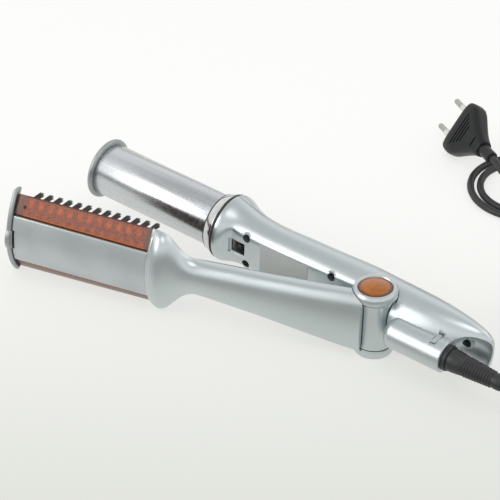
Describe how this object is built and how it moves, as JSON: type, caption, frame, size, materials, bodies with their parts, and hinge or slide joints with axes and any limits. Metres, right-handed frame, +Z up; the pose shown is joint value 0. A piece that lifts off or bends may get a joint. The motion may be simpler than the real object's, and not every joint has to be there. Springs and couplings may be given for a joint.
{
  "type": "rotating curling iron",
  "caption": "Two-armed rotating hair iron: a motor-turned hot barrel on one arm, a hinged brush with bristle rows on the other, with cord and plug.",
  "frame": {"origin": "on the hinge axis, at the flat underside of the hinge's bottom cap, on which the part stands", "axes": "+Z up along the hinge axis; the barrel arm lies towards -X; +X along the handle's tail, where the cord leaves"},
  "size_m": [0.3533, 0.3008, 0.0574],
  "materials": {
    "silver_paint": "satin metallic paint on moulded plastic",
    "grey_plastic": "smooth satin grey",
    "steel": "plain",
    "chrome": "mirror plated",
    "polished_aluminium": "polished",
    "cast_aluminium": "as cast",
    "seal_rubber": "soft",
    "natural_plastic": "natural heat-proof plastic",
    "brass": "plain",
    "black_plastic": "moulded",
    "circuit_board": "green lacquer",
    "red_plastic": "moulded",
    "label_film": "satin film, bare",
    "red_translucent": "translucent red-orange",
    "amber_lens": "translucent amber",
    "bristle_nylon": "black nylon",
    "cord_rubber": "satin black"
  },
  "bodies": {
    "root": {"barrel_arm_inner_shell": "silver_paint", "barrel_arm_outer_shell": "silver_paint", "hinge_knuckle": "silver_paint", "hinge_spring": "steel", "chrome_collar": "chrome", "collar_seal": "seal_rubber", "rear_bearing": "natural_plastic", "drive_bulkhead": "natural_plastic", "heater_core": "cast_aluminium", "heater_plates": "natural_plastic", "thermal_fuse": "brass", "gear_motor": "steel", "reduction_gearbox": "black_plastic", "control_board": "circuit_board", "board_components": "black_plastic", "trigger_switch": "black_plastic", "shell_screws": "steel", "tail_screw": "steel", "blank_label": "label_film", "wiring": "red_plastic", "swivel_bush": "silver_paint", "swivel_clip": "grey_plastic", "cord_lead": "cord_rubber", "cord_coil": "cord_rubber", "cord_run": "cord_rubber", "cord_loops": "cord_rubber", "cord_tail": "cord_rubber", "plug_body": "cord_rubber", "plug_pins": "brass"},
    "barrel": {"barrel_tube": "polished_aluminium", "barrel_tip_flange": "grey_plastic", "barrel_ring_gear": "natural_plastic", "front_bearing": "natural_plastic"},
    "drive": {"drive_shaft": "steel", "drive_pinion": "brass", "shaft_coupling": "black_plastic"},
    "brush_arm": {"brush_arm_outer_shell": "silver_paint", "brush_arm_inner_shell": "silver_paint", "hinge_clevis": "steel", "hinge_pin": "steel", "hinge_top_ring": "silver_paint", "hinge_bottom_cap": "silver_paint", "brush_arm_screws": "steel", "switch_finger": "grey_plastic", "bristle_carrier": "red_translucent", "brush_cover": "grey_plastic", "brush_end_cap": "grey_plastic", "bristle_strip_1": "bristle_nylon", "bristle_strip_2": "bristle_nylon", "bristle_strip_3": "bristle_nylon", "bristle_strip_4": "bristle_nylon", "bristle_strip_5": "bristle_nylon", "bristle_strip_6": "bristle_nylon", "button_board": "circuit_board", "indicator_lamp": "amber_lens", "button_spring": "steel"},
    "trigger": {"trigger_plunger": "red_plastic"},
    "button": {"power_button": "amber_lens"},
    "swivel": {"swivel_gland": "cord_rubber", "strain_relief": "cord_rubber"}
  },
  "joints": [
    {"name": "brush_hinge", "type": "hinge", "parent": "root", "child": "brush_arm", "pos_m": [0, 0, 0.0232], "axis": [0, 0, 1], "range_deg": [-15.6, 0], "stiffness_Nm_per_rad": 0.4, "springref_deg": 20.05},
    {"name": "barrel_spin", "type": "hinge", "parent": "root", "child": "barrel", "pos_m": [-0.15994, 0.0156, 0.02767], "axis": [0.9996, 0, -0.0279], "continuous": true},
    {"name": "drive_spin", "type": "hinge", "parent": "root", "child": "drive", "pos_m": [-0.09996, 0.0228, 0.02599], "axis": [0.9996, 0, -0.0279], "continuous": true},
    {"name": "trigger_press", "type": "slide", "parent": "root", "child": "trigger", "axis": [0, 1, 0], "range_m": [0, 0.00121]},
    {"name": "power_press", "type": "slide", "parent": "brush_arm", "child": "button", "axis": [0, 0, -1], "range_m": [0, 0.0008], "stiffness_N_per_m": 600, "springref_m": -0.0006, "deforming": ["button_spring"]},
    {"name": "cord_swivel", "type": "hinge", "parent": "root", "child": "swivel", "pos_m": [0.05998, -0.0049, 0.02152], "axis": [0.9996, 0, -0.0279], "continuous": true}
  ],
  "couplings": [
    {"joint": "drive_spin", "follows": "barrel_spin", "ratio": 3},
    {"joint": "trigger_press", "follows": "brush_hinge", "m_per_rad": -0.004407}
  ]
}
